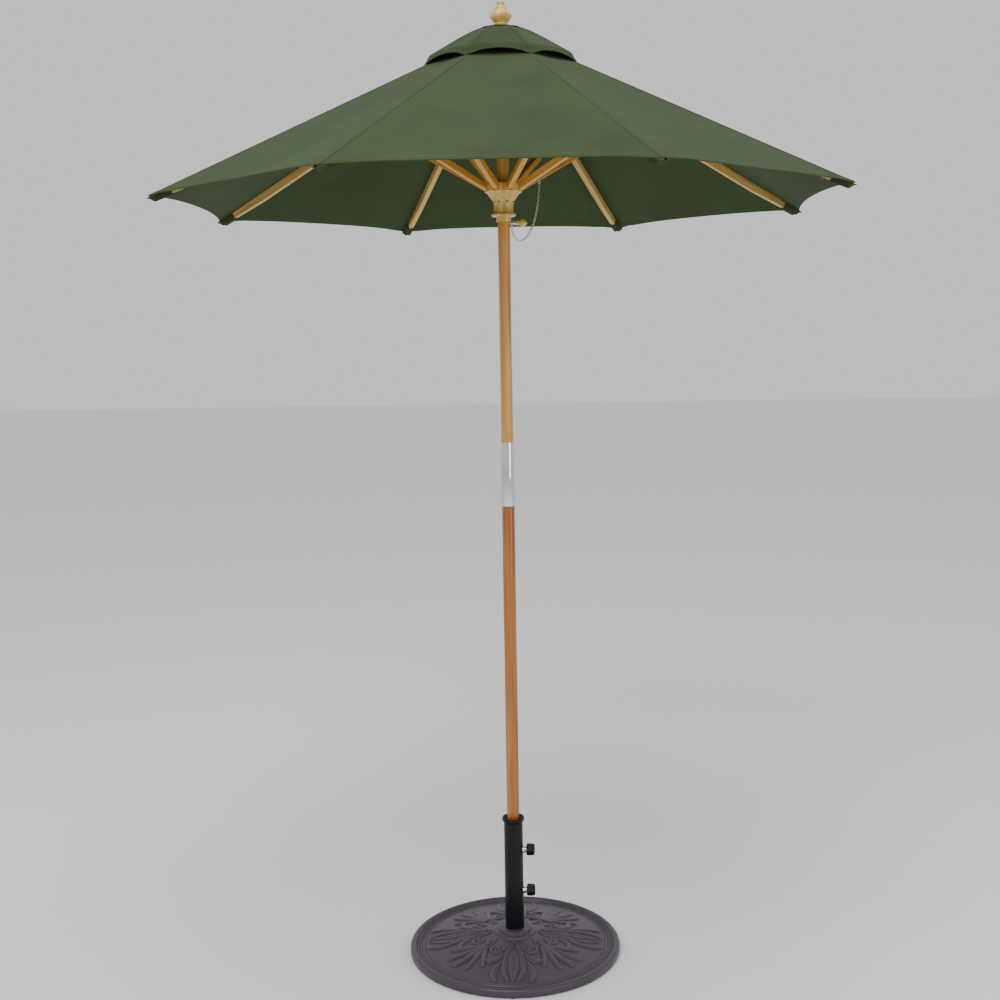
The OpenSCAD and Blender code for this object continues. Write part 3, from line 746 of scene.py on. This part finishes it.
def lobedKnob(node):
    # a six-lobed grip on a plated stud; the profile is (distance along, share of the radius)
    low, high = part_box(node)
    centre = (low + high) / 2
    start = high.x - knob["depth"]
    profile = [(0, 0.0), (0, 0.55), (0.0004, 0.86), (0.0018, 0.955), (0.005, 1.0), (0.012, 1.0), (0.017, 0.975),
               (0.0202, 0.9), (0.0222, 0.76), (0.0229, 0.6), (0.0224, 0.5), (0.0218, 0.42), (0.0218, 0.0)]
    rows = []
    for along, share in profile:
        row = []
        for k in range(knob["columns"]):
            angle = 2 * math.pi * k / knob["columns"]
            lobe = knob["waist"] + knob["lobe"] * math.cos(knob["lobes"] * angle)
            r = knob["radius"] * share * (lobe if share > 0.56 else knob["cap"])
            row.append((start + along, centre.y - r * math.cos(angle), centre.z + r * math.sin(angle)))
        rows.append(row)
    body = frame["nodes"][node]["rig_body"]
    mesh = gridMesh(node + "Grip", rows)
    weld(mesh)
    addPiece(node + "Grip", smoothByAngle(mesh, 40), body, nylon, [node])
    stud = lathe(node + "Stud", [(0, low.x), (0.0036, low.x), (0.004, low.x + 0.0006), (0.004, start - 0.0072),
                                 (0.0074, start - 0.0072), (0.0075, start - 0.0066), (0.0075, start + 0.001),
                                 (0, start + 0.001)], 40)
    stud.transform(Matrix.Translation((0, centre.y, centre.z)) @ Matrix.Rotation(math.radians(90), 4, "Y"))
    addPiece(node + "Stud", smoothByAngle(stud, 30), body, nickel)


for node in ("upper_knob", "lower_knob"):
    lobedKnob(node)
print("stage: knobs")


# cast base with its relief

base = {"radius": 0.282, "edgeZ": 0.015, "columns": 720, "rows": 92, "plainShade": 0.72,
        "stepZ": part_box("base_disc")[1].z}
base["bossZ"] = base["stepZ"] - 0.008
base["midZ"] = base["bossZ"] - 0.006


def strokeDistance(x, y, points):
    best = np.full(x.shape, 1e9)
    share = np.zeros(x.shape)
    for k in range(len(points) - 1):
        ax, ay = points[k]
        bx, by = points[k + 1]
        dx, dy = bx - ax, by - ay
        t = np.clip(((x - ax) * dx + (y - ay) * dy) / (dx * dx + dy * dy + 1e-12), 0, 1)
        d = np.hypot(x - ax - t * dx, y - ay - t * dy)
        share = np.where(d < best, (k + t) / (len(points) - 1), share)
        best = np.minimum(best, d)
    return best, share


def spiral(cx, cy, outer, inner, start, turns, steps=40):
    return [(cx + (outer + (inner - outer) * k / steps) * math.cos(start + turns * 2 * math.pi * k / steps),
             cy + (outer + (inner - outer) * k / steps) * math.sin(start + turns * 2 * math.pi * k / steps))
            for k in range(steps + 1)]


def leafHeight(x, y, root, tip, half, high, teeth):
    u = np.clip((x - root) / (tip - root), 0, 1)
    width = half * np.sin(math.pi * u ** 0.75) ** 0.8 * (1 + 0.12 * np.sin(u * teeth * 2 * math.pi - np.abs(y) * 220))
    inside = np.clip(1 - (np.abs(y) / np.maximum(width, 1e-5)) ** 2, 0, 1)
    vein = 0.4 * np.exp(-(np.abs(y) / 0.0018) ** 2)
    ribs = 0.08 * (1 + np.sin((u * 7 - np.abs(y) * 60) * 2 * math.pi)) * np.clip(np.abs(y) / 0.006, 0, 1)
    return high * np.where((x > root) & (x < tip), inside ** 0.55 * (1 - vein - ribs), 0)


def strokeHeight(x, y, points, thick, high, blunt=0.5):
    # a rounded ridge that thins towards both of its ends
    d, share = strokeDistance(x, y, points)
    width = thick * (0.35 + 0.65 * np.sin(math.pi * np.clip(share * 0.86 + 0.1, 0, 1)) ** blunt)
    return high * np.clip(1 - (d / width) ** 2, 0, 1) ** 0.6


def curve(points, steps=10):
    # a smooth line through a few points
    out = []
    for k in range(len(points) - 1):
        p0, p1 = points[max(k - 1, 0)], points[k]
        p2, p3 = points[k + 1], points[min(k + 2, len(points) - 1)]
        for step in range(steps):
            t = step / steps
            out.append(tuple(0.5 * (2 * b + (c - a) * t + (2 * a - 5 * b + 4 * c - d) * t * t
                                    + (3 * b - a - 3 * c + d) * t ** 3) for a, b, c, d in zip(p0, p1, p2, p3)))
    return out + [points[-1]]


def reliefHeight(r, angle):
    # spears on the four axes, fans on the diagonals, and scrolls and crescents between them
    sector = math.radians(90)
    a = np.abs((angle + sector / 2) % sector - sector / 2)
    x, y = r * np.cos(a), r * np.sin(a)
    b = sector / 2 - a
    fx, fy = r * np.cos(b), r * np.sin(b)
    spear = leafHeight(x, y, 0.098, 0.236, 0.0145, 0.0042, 3)
    cradle = curve([(0.080, 0.0075), (0.110, 0.0165), (0.150, 0.0235), (0.190, 0.0255), (0.226, 0.0135)])
    collar = curve([(0.066, 0.004), (0.074, 0.013), (0.088, 0.020), (0.100, 0.030)])
    volute = spiral(0.099, 0.0455, 0.0165, 0.003, math.radians(200), -1.35)
    crescent = curve([(0.124, 0.034), (0.139, 0.046), (0.146, 0.061), (0.141, 0.077)])
    leaflet = curve([(0.150, 0.033), (0.176, 0.046), (0.203, 0.052), (0.228, 0.047)])
    middle = curve([(0.112, 0.0), (0.150, 0.0), (0.215, 0.0)])
    inner = curve([(0.114, 0.004), (0.145, 0.013), (0.178, 0.025), (0.206, 0.035)])
    outer = curve([(0.110, 0.008), (0.130, 0.021), (0.152, 0.040), (0.172, 0.060)])
    bud = curve([(0.070, 0.0), (0.084, 0.006), (0.094, 0.0045), (0.1, 0.0)])
    high = spear
    for points, thick, tall in ((cradle, 0.0072, 0.004), (collar, 0.006, 0.0034), (crescent, 0.0088, 0.0042),
                                (leaflet, 0.0082, 0.0038)):
        high = np.maximum(high, strokeHeight(x, y, points, thick, tall))
    high = np.maximum(high, strokeHeight(x, y, volute, 0.0055, 0.0038, 0.3))
    for points, thick, tall in ((middle, 0.0105, 0.0046), (inner, 0.0088, 0.0042), (outer, 0.0084, 0.004),
                                (bud, 0.0045, 0.0028)):
        high = np.maximum(high, strokeHeight(fx, fy, points, thick, tall))
    return high


def makeBase():
    # profile from the top of the boss, out over the relief to the rim, and back underneath
    r = base["radius"]
    top, boss, mid, edge = base["stepZ"], base["bossZ"], base["midZ"], base["edgeZ"]
    profile = [(0.0251, top), (0.0418, top), (0.0432, top - 0.0004), (0.0444, top - 0.0014), (0.045, top - 0.003),
               (0.045, boss + 0.0012), (0.0454, boss + 0.0002), (0.0464, boss), (0.0538, boss),
               (0.0552, boss - 0.0006), (0.056, boss - 0.002), (0.0563, mid + 0.0015), (0.0572, mid + 0.0003)]
    bossRows = len(profile)
    flatEnd = r - 0.0412
    for k in range(1, base["rows"] + 1):
        s = 0.0572 + (flatEnd - 0.0572) * k / base["rows"]
        profile.append((s, mid + (edge - mid) * (s - 0.056) / (r - 0.021 - 0.056)))
    reliefRows = len(profile)
    profile += arcPoints(r - 0.036, edge - 0.001, 0.0045, 150, 20, 6)
    profile += [(r - 0.0285, edge - 0.0005), (r - 0.0262, edge - 0.0015)]
    profile += arcPoints(r - 0.022, edge + 0.0015, 0.0036, 215, 325, 4)
    profile += arcPoints(r - 0.009, edge - 0.001, 0.009, 160, 0, 10)
    profile += [(r, 0.011), (r, 0.0042), (r - 0.0012, 0.003), (r - 0.015, 0.003), (r - 0.015, edge - 0.006),
                (0.056, mid - 0.006), (0.045, 0.0118), (0.0251, 0.0118), (0.0251, top)]
    count = base["columns"]
    angle = np.arange(count) * 2 * math.pi / count - math.pi / 2
    points = np.zeros((len(profile), count, 3))
    # painted shade: plain rows keep one level, relief rows get painted shade and highlight below
    shade = np.full((len(profile), count), base["plainShade"])
    for k, (s, z) in enumerate(profile):
        lift = np.zeros(count)
        if bossRows <= k < reliefRows:
            lift = reliefHeight(np.full(count, s), angle + math.pi / 2)
            shade[k] = lift
        points[k, :, 0] = s * np.cos(angle)
        points[k, :, 1] = s * np.sin(angle)
        points[k, :, 2] = z + lift
    # painted shade in the hollows beside the ridges and painted highlight on their crests
    field = shade[bossRows:reliefRows]
    soft = field.copy()
    for step in range(5):
        soft = (soft + np.roll(soft, 1, 1) + np.roll(soft, -1, 1)) / 3
        soft[1:-1] = (soft[1:-1] + soft[2:] + soft[:-2]) / 3
    shade[bossRows:reliefRows] = 0.55 + 0.42 * np.clip((field - soft) / 0.0009, -1.3, 1)
    mesh = gridMesh("baseDiscCast", points.tolist())
    # the painted shade and highlight are stored on the points for the material to read
    paintedReliefShading = mesh.attributes.new("paintedReliefShading", "FLOAT", "POINT")
    paintedReliefShading.data.foreach_set("value", np.clip(shade, 0, 1).ravel().tolist())
    weld(mesh)
    addPiece("baseDiscCast", smoothByAngle(mesh, 60), "base", castResin, ["base_disc"])


makeBase()
print("stage: base")
